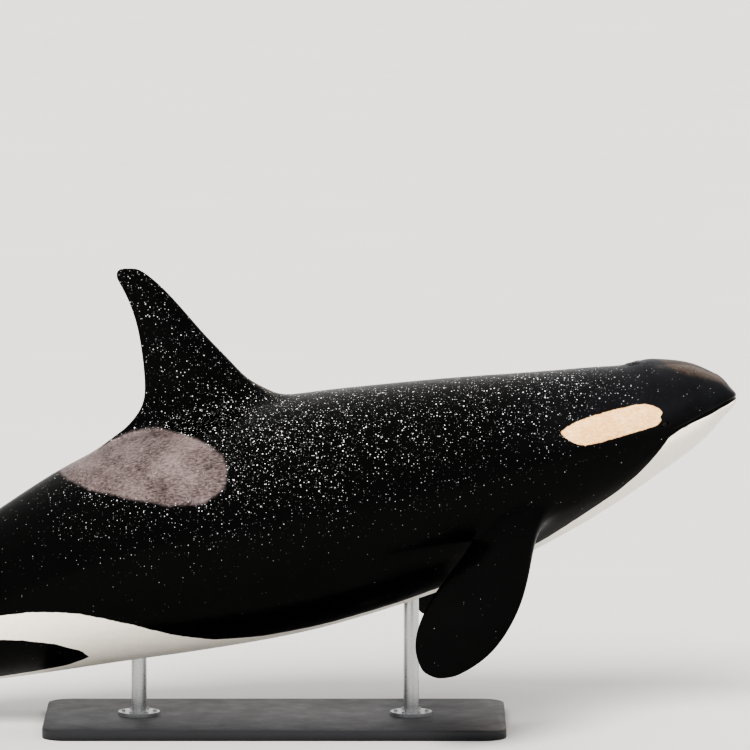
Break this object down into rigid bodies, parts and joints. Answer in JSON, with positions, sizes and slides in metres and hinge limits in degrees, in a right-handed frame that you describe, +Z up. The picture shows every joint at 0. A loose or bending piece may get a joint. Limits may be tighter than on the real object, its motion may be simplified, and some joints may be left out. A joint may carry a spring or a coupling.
{
  "type": "orca",
  "caption": "Life-size orca with a curved back fin, nose up and back arched as it swims, held by a flat base and short rods.",
  "frame": {"origin": "on the floor, under the middle of the model's bounding box", "axes": "+X towards the snout, +Y to the animal's left, +Z up"},
  "size_m": [5.7602, 2.0104, 2.293],
  "materials": {
    "skin_head": "wet-look gloss over black",
    "skin_jaw": "wet-look gloss over cream white",
    "skin_thorax": "wet-look gloss over black",
    "skin_loin": "wet-look gloss over black",
    "skin_tail": "wet-look gloss over black",
    "skin_fin": "wet-look gloss over black",
    "skin_flipper_left": "wet-look gloss over black",
    "skin_flipper_right": "wet-look gloss over black",
    "skin_fluke_left": "wet-look gloss over black",
    "skin_fluke_right": "wet-look gloss over black",
    "eye_left": "polished dark brown",
    "eye_right": "polished dark brown",
    "stand_base": "matt charcoal paint",
    "stand_rod_front": "brushed",
    "stand_rod_rear": "brushed",
    "stand_flange_front": "brushed",
    "stand_flange_rear": "brushed"
  },
  "bodies": {
    "root": {"head": "skin_head", "lower_jaw": "skin_jaw", "thorax": "skin_thorax", "loin": "skin_loin", "tail_stock": "skin_tail", "dorsal_fin": "skin_fin", "flipper_left": "skin_flipper_left", "flipper_right": "skin_flipper_right", "fluke_left": "skin_fluke_left", "fluke_right": "skin_fluke_right", "eye_left": "eye_left", "eye_right": "eye_right", "stand_base": "stand_base", "stand_rod_front": "stand_rod_front", "stand_rod_rear": "stand_rod_rear", "stand_flange_front": "stand_flange_front", "stand_flange_rear": "stand_flange_rear"}
  },
  "joints": []
}
